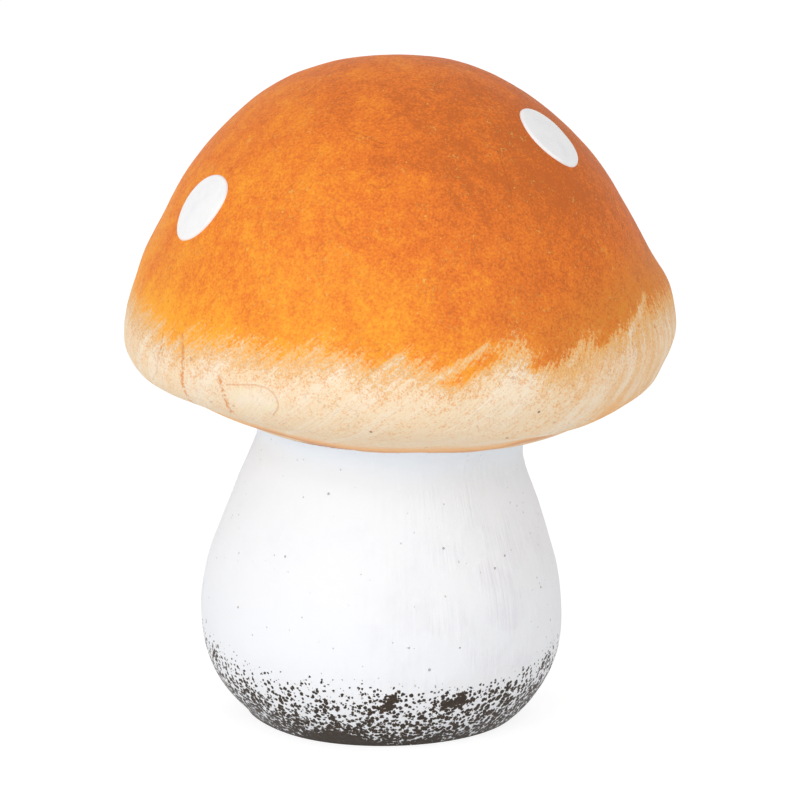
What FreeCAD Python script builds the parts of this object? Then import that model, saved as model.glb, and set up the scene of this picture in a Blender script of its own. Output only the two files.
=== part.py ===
import FreeCAD, Part
import math
import os
from FreeCAD import Placement, Rotation, Vector

# A hollow pottery mushroom. All lengths are in millimetres and all angles in degrees.
# +Z is up, -Y is the front, and the origin is where the stem's axis meets the level foot.
# An outline is a chain of tangent arcs and straights. A place on an arc is named by the
# angle between its outward normal and straight up: 0 at the crown, 90 at the side.

# Stem, cast hollow, measured upright before it is leaned to the right
belly_radius = 30.1
belly_height = 16.6
foot_inset = 7.8
foot_bevel = 1.5
belly_arc_radius = 35.6
belly_sweep_angle = 19.8
neck_height = 46.9
stem_wall = 4.5
foot_thickness = 5.0
vent_radius = 4.0
stem_lean_angle = 2.4

# Spigot at the top of the stem, and the mouth of the cap that it enters
shoulder_width = 2.0
spigot_height = 6.5
joint_clearance = 0.3

# Cap, cast hollow, with its own slight tilt and its centre a little to the right
crown_radius = 41.6
crown_sweep_angle = 67.8
flank_length = 16.4
lip_radius = 10.1
lip_sweep_angle = 90.2
cap_wall = 4.5
cap_tilt_angle = 1.4
cap_shift = 1.35

# Joining slip between shoulder and cap, smoothed to a hollow fillet under the cap
bed_thickness = 1.0
fillet_radius = 6.5
fillet_tuck = 1.5

# Oval enamel spots: the slope of the dome where each one lies, its angle round the cap from
# the front, and the twist of its longer way from straight downhill
spot_reach = 6.5
spot_breadth = 5.2
spot_thickness = 0.35
left_slope_angle = 62.0
left_around_angle = -62.8
left_twist_angle = -36.0
right_slope_angle = 39.9
right_around_angle = 61.9
right_twist_angle = -8.5
back_slope_angle = 42.0
back_around_angle = 180.0
back_twist_angle = 20.0

# How far straights may stand off the arc they stand for, in the rough hidden hollow of the
# cap and in the small fillet
hollow_chord_height = 2.0
fillet_chord_height = 0.12

# How far a cutting tool runs past the face that it cuts
overrun = 2.0

up = Vector(0, 0, 1)
across = Vector(0, 1, 0)
origin = Vector(0, 0, 0)


def sine(angle):
    return math.sin(math.radians(angle))


def outward(angle):
    return Vector(sine(angle), 0, sine(90 - angle))


class Bend:
    """One arc of an outline. A hollow arc has a negative radius."""

    def __init__(self, centre, radius, first, last):
        self.centre = centre
        self.radius = radius
        self.first = first
        self.last = last

    def at(self, angle, inset=0):
        return self.centre + outward(angle) * (self.radius - inset)

    def start(self, inset=0):
        return self.at(self.first, inset)

    def end(self, inset=0):
        return self.at(self.last, inset)

    def edge(self):
        middle = self.at((self.first + self.last) / 2)
        return Part.Arc(self.start(), middle, self.end()).toShape()

    def steps(self, chord_height, inset=0):
        """Points so close along the arc that straights between them may replace it."""
        bow = 1 - chord_height / abs(self.radius - inset)
        sweep = self.last - self.first
        count = math.ceil(abs(sweep) / (2 * math.degrees(math.acos(bow))))
        return [self.at(self.first + sweep * step / count, inset) for step in range(count + 1)]


def bend_from(start, radius, first, last):
    """An arc that carries on from a point where the normal is already known."""
    return Bend(start - outward(first) * radius, radius, first, last)


def lines(*points):
    return [Part.makeLine(a, b) for a, b in zip(points, points[1:])]


def revolve(edges):
    return Part.Face(Part.Wire(edges)).revolve(origin, up, 360)


def cylinder(radius, low, high):
    return Part.makeCylinder(radius, high - low, Vector(0, 0, low))


def on_axis(point):
    return Vector(0, 0, point.z)


def block(reach, low, high):
    """A square block round the axis, wide enough to cut or keep a whole level."""
    return Part.makeBox(2 * reach, 2 * reach, high - low, Vector(-reach, -reach, low))


def lean(shape):
    shape.rotate(origin, across, stem_lean_angle)
    return shape


def stem_bends():
    """The heel and the belly, from the top of the foot's bevel upwards."""
    heel_radius = (foot_inset ** 2 + belly_height ** 2) / (2 * foot_inset)
    heel_centre = Vector(belly_radius - heel_radius, 0, belly_height)
    heel_angle = math.degrees(math.acos((foot_bevel - belly_height) / heel_radius))
    heel = Bend(heel_centre, heel_radius, heel_angle, 90)
    return heel, bend_from(heel.end(), belly_arc_radius, 90, 90 - belly_sweep_angle)


def below_foot(start):
    """Where the bevel, carried on straight from the heel, is clear below the foot."""
    depth = start.z + belly_radius * sine(stem_lean_angle) + overrun
    slope = math.tan(math.radians(stem_bends()[0].first))
    return start + Vector(depth / slope, 0, -depth)


def neck_top(inset=0):
    """The upper end of the straight neck."""
    start = stem_bends()[-1].end(inset)
    run = outward(-belly_sweep_angle)
    return start + run * ((neck_height - start.z) / run.z)


def spigot_radius():
    return neck_top().x - shoulder_width


def mouth_radius():
    return spigot_radius() + joint_clearance


def stem_body():
    """The stem as if it were solid, leaned, its foot cut level."""
    heel, belly = stem_bends()
    below = below_foot(heel.start())
    shoulder = Vector(spigot_radius(), 0, neck_height)
    top = shoulder + up * spigot_height
    edges = lines(on_axis(below), below, heel.start()) + [heel.edge(), belly.edge()]
    edges += lines(belly.end(), neck_top(), shoulder, top, on_axis(top), on_axis(below))
    return lean(revolve(edges)).cut(block(2 * belly_radius, below.z - overrun, 0))


def stem_hollow():
    """The space inside the stem, open at the top of the spigot, with a level floor."""
    heel, belly = stem_bends()
    low = heel.start(stem_wall)
    below = below_foot(low)
    bore = neck_top(stem_wall)
    top = Vector(bore.x, 0, neck_height + spigot_height + overrun)
    points = (below, low, heel.end(stem_wall), belly.end(stem_wall), bore, top)
    hollow = revolve(lines(on_axis(below), *points, on_axis(top), on_axis(below)))
    return lean(hollow).cut(block(2 * belly_radius, below.z - overrun, foot_thickness))


def stem():
    vent = cylinder(vent_radius, -overrun, foot_thickness + overrun)
    return stem_body().cut(stem_hollow()).cut(vent)


def cap_bends():
    """The crown and the lip, with the top of the crown at the origin."""
    crown = bend_from(origin, crown_radius, 0, crown_sweep_angle)
    flank_end = crown.end() + outward(crown_sweep_angle + 90) * flank_length
    return crown, bend_from(flank_end, lip_radius, crown_sweep_angle, crown_sweep_angle + lip_sweep_angle)


def underside(radius, inset=0):
    """The place on the straight underside at a distance from the axis."""
    lip = cap_bends()[-1]
    start = lip.end(inset)
    run = outward(lip.last + 90)
    return start + run * ((radius - start.x) / run.x)


def ball(growth=0):
    """The ball of the crown, its poles at the sides and its seam underneath."""
    return Part.makeSphere(crown_radius + growth, Vector(0, 0, -crown_radius), -across)


def cap_body():
    """The cap as if it were solid, closed across the mouth."""
    crown, lip = cap_bends()
    rim = underside(mouth_radius() - overrun)
    edges = lines(on_axis(crown.end()), crown.end(), lip.start()) + [lip.edge()]
    edges += lines(lip.end(), rim, on_axis(rim), on_axis(crown.end()))
    dome = ball().common(block(2 * crown_radius, crown.end().z, overrun))
    return dome.fuse(revolve(edges))


def cap_hollow():
    """The space inside the cap, a wall in from the outline."""
    crown, lip = cap_bends()
    rim = underside(mouth_radius() - overrun, cap_wall)
    points = crown.steps(hollow_chord_height, cap_wall) + lip.steps(hollow_chord_height, cap_wall)
    return revolve(lines(*points, rim, on_axis(rim), points[0]))


def set_on_stem(shape):
    """Bring a piece from the cap's frame to its place, the mouth a bed above the neck."""
    seat = Rotation(across, stem_lean_angle).multVec(up * (neck_height + bed_thickness))
    shape.translate(-up * underside(mouth_radius()).z)
    shape.rotate(origin, across, cap_tilt_angle)
    shape.translate(seat + Vector(cap_shift, 0, 0))
    return shape


def mouth_tool():
    low = neck_height - overrun
    return lean(cylinder(mouth_radius(), low, neck_height + spigot_height + overrun))


def cap():
    return set_on_stem(cap_body().cut(cap_hollow())).cut(mouth_tool())


def fillet_bend():
    """The hollow left by a ball rolled round against both the neck and the underside."""
    mouth = underside(mouth_radius())
    neck = Vector(neck_top().x - fillet_tuck, 0, mouth.z - bed_thickness)
    first = 90 - belly_sweep_angle
    last = cap_bends()[-1].last
    off_neck = outward(first)
    off_cap = outward(last)
    neck_reach = off_neck.dot(neck) + fillet_radius
    cap_reach = off_cap.dot(mouth) + fillet_radius
    turn = off_neck.x * off_cap.z - off_neck.z * off_cap.x
    x = (neck_reach * off_cap.z - cap_reach * off_neck.z) / turn
    z = (cap_reach * off_neck.x - neck_reach * off_cap.x) / turn
    return Bend(Vector(x, 0, z), -fillet_radius, first, last)


def fillet_disc():
    """A disc that has the rolled hollow for its edge, in the cap's frame."""
    bend = fillet_bend()
    above = bend.end() + up * overrun
    points = bend.steps(fillet_chord_height)
    return revolve(lines(on_axis(points[0]), *points, above, on_axis(above), on_axis(points[0])))


def luting_ring():
    """The slip takes its shape from the shoulder below it and from the cap above it."""
    ring = set_on_stem(fillet_disc()).cut(set_on_stem(cap_body()))
    return ring.cut(stem_body()).cut(mouth_tool())


def oval(low, high):
    """A level oval prism, its longer way along X."""
    edge = Part.Ellipse(up * low, spot_reach, spot_breadth).toShape()
    return Part.Face(Part.Wire(edge)).extrude(up * (high - low))


def spot(slope, around, twist):
    """An oval of enamel that lies on the dome."""
    depth = spot_reach ** 2 / crown_radius
    turn = Rotation(up, around - 90)
    pose = turn.multiply(Rotation(across, slope)).multiply(Rotation(up, twist))
    tool = oval(-depth, depth)
    tool.Placement = Placement(turn.multVec(cap_bends()[0].at(slope)), pose)
    return set_on_stem(ball(spot_thickness).common(tool).cut(cap_body()))


def pieces():
    yield "stem", stem()
    yield "cap", cap()
    yield "luting_ring", luting_ring()
    yield "spot_left", spot(left_slope_angle, left_around_angle, left_twist_angle)
    yield "spot_right", spot(right_slope_angle, right_around_angle, right_twist_angle)
    yield "spot_back", spot(back_slope_angle, back_around_angle, back_twist_angle)


os.makedirs("parts", exist_ok=True)
for name, shape in pieces():
    shape.exportStep("parts/" + name + ".step")
    print(name, len(shape.Solids), shape.isValid(), round(shape.Volume))
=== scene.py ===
import math

import bpy
import numpy as np
from mathutils import Euler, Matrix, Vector, noise
from mathutils.bvhtree import BVHTree


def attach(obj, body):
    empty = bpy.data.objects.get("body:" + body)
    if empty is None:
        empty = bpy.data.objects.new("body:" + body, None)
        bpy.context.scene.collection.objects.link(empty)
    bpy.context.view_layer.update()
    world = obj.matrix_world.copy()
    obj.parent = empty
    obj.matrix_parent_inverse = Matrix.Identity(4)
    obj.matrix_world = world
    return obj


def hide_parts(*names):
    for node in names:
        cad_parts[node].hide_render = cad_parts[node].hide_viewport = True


# The looks of a pottery mushroom. Shapes are worked out in millimetres and turned into metres
# when a mesh is made. Angles are in degrees. An angle round the mushroom is 0 at the front
# (-Y) and grows towards +X. A "run" is the distance along an outline from its start.

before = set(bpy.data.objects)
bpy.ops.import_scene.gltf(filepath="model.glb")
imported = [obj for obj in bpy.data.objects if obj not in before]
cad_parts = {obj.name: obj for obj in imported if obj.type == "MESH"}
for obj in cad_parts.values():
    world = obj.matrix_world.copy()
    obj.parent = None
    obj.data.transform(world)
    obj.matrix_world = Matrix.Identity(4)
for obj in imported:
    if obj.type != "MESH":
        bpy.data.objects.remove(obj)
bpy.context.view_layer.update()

MM = 0.001
PICTURE = 800
BACK = 180.0
UPWARD = np.array((0, 0, 1))

# The CAD's main sizes

BELLY_RADIUS = 30.1
BELLY_HEIGHT = 16.6
FOOT_INSET = 7.8
FOOT_BEVEL = 1.5
BELLY_ARC_RADIUS = 35.6
BELLY_SWEEP = 19.8
NECK_HEIGHT = 46.9
VENT_RADIUS = 4.0
FOOT_THICKNESS = 5.0
STEM_LEAN = 2.4
SHOULDER_WIDTH = 2.0
SPIGOT_HEIGHT = 6.5
JOINT_CLEARANCE = 0.3
CROWN_RADIUS = 41.6
CROWN_SWEEP = 67.8
FLANK_LENGTH = 16.4
LIP_RADIUS = 10.1
LIP_SWEEP = 90.2
CAP_TILT = 1.4
CAP_SHIFT = 1.35
BED_THICKNESS = 1.0
SPOT_REACH = 6.5
SPOT_BREADTH = 5.2
SPOT_THICKNESS = 0.35
SPOT_PLACES = {"left": (62.0, -62.8, -36.0), "right": (39.9, 61.9, -8.5), "back": (42.0, BACK, 20.0)}

# The camera

CAMERA_PLACE = (0.0, -0.8751, 0.2651)
CAMERA_PITCH = 76.5
LENS = 245.7
SENSOR = 36.0
SHIFT = (0.0295, -0.0173)
CAMERA_TURN = Euler((math.radians(CAMERA_PITCH), 0, 0))


def add_object(name, data):
    added = bpy.data.objects.new(name, data)
    bpy.context.scene.collection.objects.link(added)
    return added


def make_camera():
    data = bpy.data.cameras.new("camera")
    data.sensor_fit = "HORIZONTAL"
    data.sensor_width = SENSOR
    data.lens = LENS
    data.shift_x, data.shift_y = SHIFT
    camera = add_object("camera", data)
    camera.location = CAMERA_PLACE
    camera.rotation_euler = CAMERA_TURN
    bpy.context.scene.camera = camera


def sight_line(x, y):
    """The direction, from the camera, of a pixel of the photograph."""
    across = ((x - PICTURE / 2) / PICTURE + SHIFT[0]) * SENSOR
    upward = ((PICTURE / 2 - y) / PICTURE + SHIFT[1]) * SENSOR
    direction = Vector((across, upward, -LENS))
    direction.rotate(CAMERA_TURN)
    return direction.normalized()


# Outlines and turned skins


def outward(angle):
    """The unit vector (sideways, up) of an outward normal, 0 straight up, 90 level."""
    return np.array((math.sin(math.radians(angle)), math.cos(math.radians(angle))))


def arc(centre, radius, first, last, step):
    """Rows of (radius, height, normal) along one arc."""
    count = max(2, math.ceil(abs(radius * math.radians(last - first)) / step))
    normals = [outward(angle) for angle in np.linspace(first, last, count + 1)]
    return [(*(centre + radius * normal), *normal) for normal in normals]


def straight(first, last, step):
    """Rows along one straight, its normal to the left of the way down."""
    first, last = np.array(first, float), np.array(last, float)
    along = (last - first) / np.linalg.norm(last - first)
    normal = (-along[1], along[0])
    count = max(1, math.ceil(np.linalg.norm(last - first) / step))
    return [(*(first + (last - first) * i / count), *normal) for i in range(count + 1)]


def outline(*pieces):
    """Join pieces to an array of rows (radius, height, normal x, normal z, run)."""
    rows = np.array([row for piece in pieces for row in piece])
    gaps = np.hypot(*np.diff(rows[:, :2], axis=0).T)
    keep = np.concatenate(([True], gaps > 1e-6))
    runs = np.concatenate(([0], np.cumsum(gaps)))
    return np.column_stack((rows, runs))[keep]


def azimuths(columns):
    return np.radians(np.linspace(0, 360, columns, endpoint=False) - 180)


def sideways(around):
    """Level unit vectors away from the axis, at angles round it in radians."""
    return np.stack((np.sin(around), -np.cos(around), 0 * around), axis=-1)


def round_axis(around, out, height):
    """Points or directions at angles round the axis, so far out from it and so high."""
    return np.asarray(out)[..., None] * sideways(around) + np.asarray(height)[..., None] * UPWARD


def turned(rows, columns):
    """Points and normals of a turned skin, as arrays [row, column, xyz]."""
    around = azimuths(columns)
    radius, height, out, up = rows[:, :4].T[..., None]
    return round_axis(around, radius, height), round_axis(around, out, up)


# A hidden wall that carries a skin on is closed at its top, down to a small radius
CLOSING_RADIUS = 3.0
CLOSING_WALL_STEP = 2.5
CLOSING_TOP_STEP = 6.0


def closing(radius, low, high):
    """Rows up a hidden wall and in over its top, nearly to the axis."""
    return outline(straight((radius, low), (radius, high), CLOSING_WALL_STEP),
                   straight((radius, high), (CLOSING_RADIUS, high), CLOSING_TOP_STEP))


def rotated(points, angle):
    """Turn points about +Y, the top towards +X."""
    sine, cosine = math.sin(math.radians(angle)), math.cos(math.radians(angle))
    x, y, z = points[..., 0], points[..., 1], points[..., 2]
    return np.stack((x * cosine + z * sine, y, z * cosine - x * sine), axis=-1)


def lobe(around, run, centre, spread):
    """A smooth bump over a skin, 1 at its centre (angle, run)."""
    turn = (np.degrees(around) - centre[0] + 180) % 360 - 180
    return np.exp(-(turn / spread[0]) ** 2 - ((run - centre[1]) / spread[1]) ** 2)


def wander(points, size, seed):
    """Smooth noise, about -0.5 to 0.5, over an array of points in millimetres."""
    flat = points.reshape(-1, 3) / size + seed
    values = [noise.noise(Vector(point)) for point in flat]
    return np.array(values).reshape(points.shape[:-1])


def swellings(around, run, lobes, points, lumps, seed=0):
    """The height of bumps at known places and of lumps all over, in millimetres."""
    return (sum(size * lobe(around, run, centre, spread) for centre, spread, size in lobes)
            + sum(depth * wander(points, size, size + seed) for size, depth in lumps))


# Meshes


def grid_faces(rows, columns, first_pole=False, last_pole=False, closed_loop=False):
    """Quads of a turned grid, with a fan at each pole. Pole vertices come last."""
    start = np.arange(rows - 1)[:, None] * columns
    here = np.arange(columns)[None, :]
    there = (here + 1) % columns
    corners = (start + here, start + columns + here, start + columns + there, start + there)
    faces = np.stack(corners, axis=-1).reshape(-1, 4).tolist()
    last = (rows - 1) * columns
    pole = rows * columns
    if closed_loop:
        faces += [(last + i, i, (i + 1) % columns, last + (i + 1) % columns) for i in range(columns)]
    if first_pole:
        faces += [(pole, i, (i + 1) % columns) for i in range(columns)]
        pole += 1
    if last_pole:
        faces += [(last + i, pole, last + (i + 1) % columns) for i in range(columns)]
    return faces


def make_piece(name, points, faces, material, nodes, sharp=180.0, attributes=None):
    """A mesh object in metres that rides on the body and stands for its CAD nodes."""
    mesh = bpy.data.meshes.new(name)
    mesh.from_pydata((np.asarray(points) * MM).tolist(), [], faces)
    mesh.shade_smooth()
    mesh.set_sharp_from_angle(angle=math.radians(sharp))
    for key, values in (attributes or {}).items():
        kind = "FLOAT" if np.ndim(values) == 1 else "FLOAT_VECTOR"
        field = "value" if kind == "FLOAT" else "vector"
        layer = mesh.attributes.new(key, kind, "POINT")
        layer.data.foreach_set(field, np.asarray(values, np.float32).ravel())
    mesh.materials.append(material)
    mesh.validate()
    piece = add_object(name, mesh)
    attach(piece, "root")
    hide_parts(*nodes)
    return piece


def flat(grid, *poles):
    """A grid's points as a list, with the pole points after them."""
    return np.concatenate([grid.reshape(-1, grid.shape[-1])] + [np.atleast_2d(p) for p in poles])


def with_poles(field):
    """A grid's values as a list, with the values for its two poles after them."""
    return np.concatenate((field.reshape(-1, *field.shape[2:]), field[[0, -1], 0]))


# Node trees


def tint(red, green, blue):
    """A colour as a screen shows it, 0 to 255, turned to the linear one that nodes take."""
    shares = [value / 255 for value in (red, green, blue)]
    linear = [s / 12.92 if s <= 0.04045 else ((s + 0.055) / 1.055) ** 2.4 for s in shares]
    return (*linear, 1.0)


class Paint:
    """The node tree of a new material or world, with one short call for each kind of node."""

    def __init__(self, owner):
        owner.use_nodes = True
        self.owner = owner
        self.tree = owner.node_tree
        self.tree.nodes.clear()

    def node(self, kind, inputs=(), **settings):
        node = self.tree.nodes.new("ShaderNode" + kind)
        for key, value in settings.items():
            setattr(node, key, value)
        for key, value in dict(inputs).items():
            if isinstance(value, bpy.types.NodeSocket):
                self.tree.links.new(value, node.inputs[key])
            else:
                node.inputs[key].default_value = value
        return node

    def math(self, operation, *values):
        return self.node("Math", dict(enumerate(values)), operation=operation).outputs[0]

    def times(self, first, second):
        return self.math("MULTIPLY", first, second)

    def total(self, start, *parts):
        """A start value, plus each part times its weight."""
        for value, weight in parts:
            start = self.math("MULTIPLY_ADD", value, weight, start)
        return start

    def vectors(self, operation, *values, output="Vector"):
        inputs = dict(enumerate(values))
        return self.node("VectorMath", inputs, operation=operation).outputs[output]

    def place(self):
        """The place on the object, in millimetres."""
        raw = self.node("TexCoord").outputs["Object"]
        return self.node("VectorMath", {0: raw, "Scale": 1 / MM}, operation="SCALE").outputs[0]

    def attribute(self, name, output="Fac"):
        return self.node("Attribute", attribute_name=name).outputs[output]

    def noise(self, place, size, detail=3.0, roughness=0.5, distortion=0.0, output="Fac"):
        """Noise whose largest features are about one size apart."""
        inputs = {"Vector": place, "Scale": 1 / size, "Detail": detail}
        inputs.update({"Roughness": roughness, "Distortion": distortion})
        return self.node("TexNoise", inputs).outputs[output]

    def step(self, value, low, high, first=0.0, last=1.0):
        """A smooth step from first to last as the value goes from low to high."""
        inputs = {"Value": value, "From Min": low, "From Max": high, "To Min": first, "To Max": last}
        return self.node("MapRange", inputs, interpolation_type="SMOOTHSTEP").outputs[0]

    def blend(self, share, first, second):
        return self.node("Mix", {0: share, 6: first, 7: second}, data_type="RGBA").outputs[2]

    def layers(self, colour, *parts):
        """A colour with others laid over it one by one, each with its share."""
        for share, over in parts:
            colour = self.blend(share, colour, over)
        return colour

    def dots(self, place, spacing, radius, share):
        """Round dots, at most one in each cell, in a share of the cells."""
        cells = self.node("TexVoronoi", {"Vector": place, "Scale": 1 / spacing})
        parts = self.node("SeparateColor", {0: cells.outputs["Color"]}).outputs
        chosen = self.math("LESS_THAN", parts[0], share)
        reach = radius / spacing
        size = self.total(0.4 * reach, (parts[1], reach))
        edge = self.math("SUBTRACT", size, cells.outputs["Distance"])
        shape = self.step(edge, -0.25 * reach, 0.35 * reach)
        return self.times(shape, chosen)

    def bump(self, height):
        """Bump from a height in millimetres."""
        return self.node("Bump", {"Height": height, "Distance": MM}).outputs[0]

    def finish(self, **values):
        inputs = {key.replace("_", " "): value for key, value in values.items()}
        shader = self.node("BsdfPrincipled", inputs)
        self.node("OutputMaterial", {"Surface": shader.outputs[0]})
        return self.owner


def new_paint(name):
    return Paint(bpy.data.materials.new(name))


# The cap's shape

CAP_STEP = 0.42
CAP_COLUMNS = 720
UNDERSIDE_STEP = 0.9
CROWN_CENTRE = np.array((0, -CROWN_RADIUS))
CROWN_END = CROWN_CENTRE + CROWN_RADIUS * outward(CROWN_SWEEP)
FLANK_END = CROWN_END + FLANK_LENGTH * outward(CROWN_SWEEP + 90)
LIP_CENTRE = FLANK_END - LIP_RADIUS * outward(CROWN_SWEEP)
LIP_LAST = CROWN_SWEEP + LIP_SWEEP
LIP_END = LIP_CENTRE + LIP_RADIUS * outward(LIP_LAST)
BELLY_CENTRE = np.array((BELLY_RADIUS - BELLY_ARC_RADIUS, BELLY_HEIGHT))
BELLY_END = BELLY_CENTRE + BELLY_ARC_RADIUS * outward(90 - BELLY_SWEEP)
NECK_RADIUS = BELLY_END[0] - (NECK_HEIGHT - BELLY_END[1]) * math.tan(math.radians(BELLY_SWEEP))
SPIGOT_RADIUS = NECK_RADIUS - SHOULDER_WIDTH
MOUTH_RADIUS = SPIGOT_RADIUS + JOINT_CLEARANCE


def underside_height(radius):
    """The height of the straight underside at a distance from the cap's axis."""
    run = outward(LIP_LAST + 90)
    return LIP_END[1] + (radius - LIP_END[0]) * run[1] / run[0]


MOUTH_HEIGHT = underside_height(MOUTH_RADIUS)
CLOSING_HEIGHT = 6.0
SEAT = rotated((NECK_HEIGHT + BED_THICKNESS) * UPWARD, STEM_LEAN) + np.array((CAP_SHIFT, 0, 0))

# Where the real shape leaves the true round: (angle round, run), spreads, height
CAP_LOBES = (((112, 33), (45, 14), -1.2), ((125, 22), (25, 8), -0.2), ((99, 45), (22, 6.5), -0.7),
             ((95, 61.5), (25, 4.6), 1.05), ((84, 73.5), (30, 4), -1.05), ((34, 81), (20, 3.5), 0.65),
             ((47, 93), (26, 8), 0.65), ((70, 80), (16, 3.5), -0.6), ((-78, 75), (20, 4), 0.2),
             ((-58, 82), (20, 4.5), -0.75), ((-93, 57), (20, 5), 0.45), ((-92, 68), (25, 3), -0.35),
             ((-112, 22), (35, 10), 0.5))
# Lumps all over, as size and height, and the width round the mouth over which they fade
CAP_LUMPS = ((16.0, 0.28), (5.0, 0.07), (1.9, 0.02))
MOUTH_FADE = 8.0


def set_on_stem(points):
    """Bring points from the cap's frame to their place on the stem."""
    return rotated(points - MOUTH_HEIGHT * UPWARD, CAP_TILT) + SEAT


def off_stem(points):
    """The way back from the stem to the cap's frame."""
    return rotated(np.asarray(points) - SEAT, -CAP_TILT) + MOUTH_HEIGHT * UPWARD


def cap_outline():
    """The cap's outer skin from the top of the crown to the mouth."""
    crown = arc(CROWN_CENTRE, CROWN_RADIUS, 0, CROWN_SWEEP, CAP_STEP)
    flank = straight(CROWN_END, FLANK_END, CAP_STEP)
    lip = arc(LIP_CENTRE, LIP_RADIUS, CROWN_SWEEP, LIP_LAST, CAP_STEP)
    below = straight(LIP_END, (MOUTH_RADIUS, MOUTH_HEIGHT), UNDERSIDE_STEP)
    return outline(crown, flank, lip, below)


CAP_ROWS = cap_outline()
LIP_END_RUN = float(CAP_ROWS[np.argmin(np.hypot(*(CAP_ROWS[:, :2] - LIP_END).T)), 4])


def cap_relief(around, run, points):
    """How far the real skin stands off the true round, in millimetres."""
    height = swellings(around, run, CAP_LOBES, points, CAP_LUMPS)
    from_axis = np.hypot(points[..., 0], points[..., 1])
    shown = np.clip((from_axis - MOUTH_RADIUS) / MOUTH_FADE, 0, 1)
    return height * np.where(run > LIP_END_RUN, shown, 1)


def cap_skin():
    """The cap's outer points in place, and the angle and run of each."""
    points, normals = turned(CAP_ROWS, CAP_COLUMNS)
    around = np.broadcast_to(azimuths(CAP_COLUMNS)[None, :], points.shape[:2])
    run = np.broadcast_to(CAP_ROWS[:, 4, None], points.shape[:2])
    relief = cap_relief(around, run, points)
    return set_on_stem(points + normals * relief[..., None]), around, run


CAP_POINTS, CAP_AROUND, CAP_RUN = cap_skin()


def skin_tree(points):
    """A search tree over a turned skin, in millimetres."""
    return BVHTree.FromPolygons(points.reshape(-1, 3).tolist(), grid_faces(*points.shape[:2]))


CAP_TREE = skin_tree(CAP_POINTS)


def seen(tree, pixels):
    """The places on a skin that pixels of the photograph show."""
    eye = Vector(CAMERA_PLACE) / MM
    hits = [tree.ray_cast(eye, sight_line(x, y))[0] for x, y in pixels]
    return np.array([hit for hit in hits if hit is not None])


def on_cap(pixels):
    """The angle round (degrees) and the run on the cap of pixels of the photograph."""
    found = off_stem(seen(CAP_TREE, pixels))
    around = np.degrees(np.arctan2(found[:, 0], -found[:, 1]))
    flat_place = np.column_stack((np.hypot(found[:, 0], found[:, 1]), found[:, 2]))
    gaps = flat_place[:, None, :] - CAP_ROWS[None, :, :2]
    return around, CAP_ROWS[np.argmin(np.hypot(gaps[..., 0], gaps[..., 1]), axis=1), 4]


# How far past the seen side a value takes to come to its mean
BACK_BLEND = 50


def round_the_back(around, values, at):
    """Values known on the seen side, carried smoothly round the back."""
    order = np.argsort(around)
    known, kept = around[order], values[order]
    middle = np.mean(kept)
    known = np.concatenate(([known[0] - BACK_BLEND], known, [known[-1] + BACK_BLEND]))
    kept = np.concatenate(([middle], kept, [middle]))
    return np.interp(at, known, kept)


# Where the orange gives way to cream, as seen in the photograph
BAND_EDGE = ((132, 290), (145, 309), (158, 326), (166, 335), (181, 339), (204, 342), (227, 343),
             (254, 352), (285, 357), (311, 354), (336, 350), (359, 361), (380, 370), (397, 360),
             (409, 361), (428, 366), (445, 376), (470, 366), (490, 352), (510, 350), (524, 345),
             (535, 360), (560, 364), (575, 356), (590, 342), (612, 338), (629, 328), (640, 316),
             (655, 304), (668, 294))
# Cream strokes that reach up into the orange, and orange ones that reach down: two ends as
# pixels, and the width in millimetres
CREAM_STROKES = (((374, 376), (403, 358), 0.5), ((442, 377), (488, 345), 0.5),
                 ((142, 348), (164, 322), 0.6), ((630, 334), (645, 294), 0.6),
                 ((568, 366), (583, 344), 0.5))
ORANGE_STROKES = (((450, 385), (497, 357), 1.0), ((532, 370), (552, 354), 0.8),
                  ((600, 344), (616, 318), 0.8))
# The lower edge of the lip, as seen in the photograph
LIP_EDGE = ((262, 428), (302, 439.5), (342, 447), (382, 451), (430, 451.5), (480, 449.5),
            (500, 447.5), (520, 444.3), (540, 439.4), (560, 432.6), (580, 425.6), (598, 417.8))

# Orange runs, fine wrinkles and scratches, the streaked middle of an oval scar, and dark pits
CREASES = (
    ((182, 334), (183, 350), (183, 366), (182, 382), (186, 393), (192, 402)),
    ((220, 377), (223, 390), (227, 402), (231, 412)),
    ((221, 383), (224, 395), (228, 405), (232, 411)),
)
HAIRLINES = (
    ((163, 334), (162, 346), (158, 358), (157, 372), (153, 380), (146, 384)),
    ((227, 385), (240, 385), (254, 385), (266, 388), (274, 394), (278, 402), (278, 409), (274, 415)),
    ((349, 130), (362, 134), (374, 140), (384, 144)),
    ((390, 120), (399, 114), (409, 108)),
    ((371, 184), (378, 188), (386, 187), (393, 182)),
    ((497, 148), (504, 168), (511, 190)),
    ((334, 216), (340, 226), (347, 234)),
    ((212, 320),), ((474, 158),), ((431, 60),),
)
LEAF = (((240, 400), (252, 398), 2.2), ((252, 398), (266, 403), 2.2))
DARK_PITS = (((507, 438),), ((539, 412),), ((371, 432),))

BRUSH_MIDDLE = 66.0
STROKE_REACH = 3.2
MARK_REACH = 1.1
LIP_BLUR = 6
# How far the strokes on the cap lean from straight up, by the angle round
BRUSH_SLANTS = ((-180, 30), (-60, 40), (0, 48), (40, 30), (75, 6), (180, 30))
CAP_BRUSH_RADIUS = 44.0
CAP_BRUSH_SQUEEZE = 0.16


def smoothed(values, reach):
    """A closed loop of values, each one the mean of its neighbours within a reach."""
    looped = np.concatenate((values[-reach:], values, values[:reach]))
    return np.convolve(looped, np.ones(2 * reach + 1) / (2 * reach + 1), "valid")


def from_line(points, start, end):
    """The way to each point from the nearest place on the line between two ends."""
    whole = end - start
    length = max(float(whole @ whole), 1e-9)
    share = np.clip((points - start) @ whole / length, 0, 1)
    return points - start - share[..., None] * whole


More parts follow.
